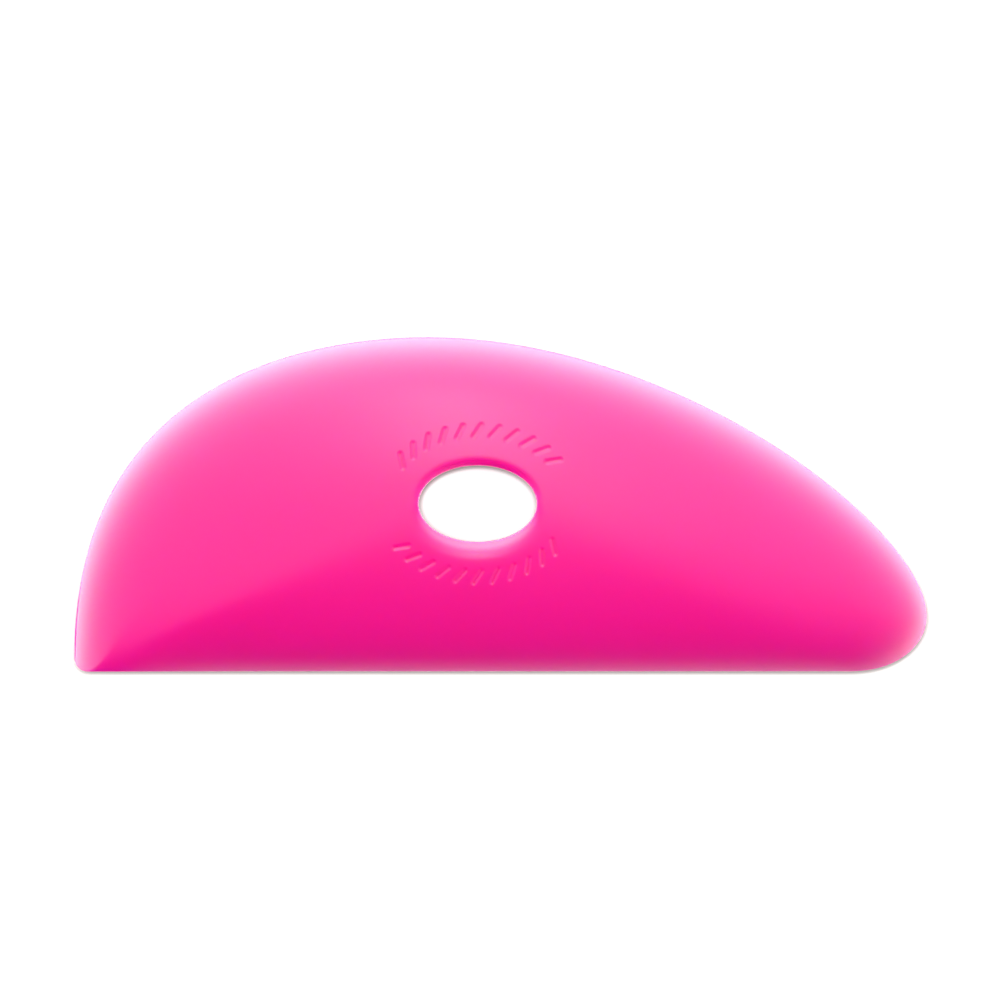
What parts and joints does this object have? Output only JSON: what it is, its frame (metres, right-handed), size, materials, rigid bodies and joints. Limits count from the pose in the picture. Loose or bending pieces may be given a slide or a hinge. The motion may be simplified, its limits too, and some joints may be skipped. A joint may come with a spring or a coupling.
{
  "type": "pottery rib",
  "caption": "Soft potter's rib: a half-moon elastomer slab with a straight base, a long curved working edge, a pillowed front, a flat back and an oval hole between two arcs of grip grooves.",
  "frame": {"origin": "middle of the slab's box, on the flat back face", "axes": "+X from the square heel to the slim tip, +Y from the straight base to the crest, +Z out of the back through the pillowed front"},
  "size_m": [0.127, 0.0498, 0.0064],
  "materials": {
    "soft_pink_elastomer": "satin moulded surface with a fine drawn grain, slightly translucent"
  },
  "bodies": {
    "root": {"rib_body": "soft_pink_elastomer"}
  },
  "joints": []
}
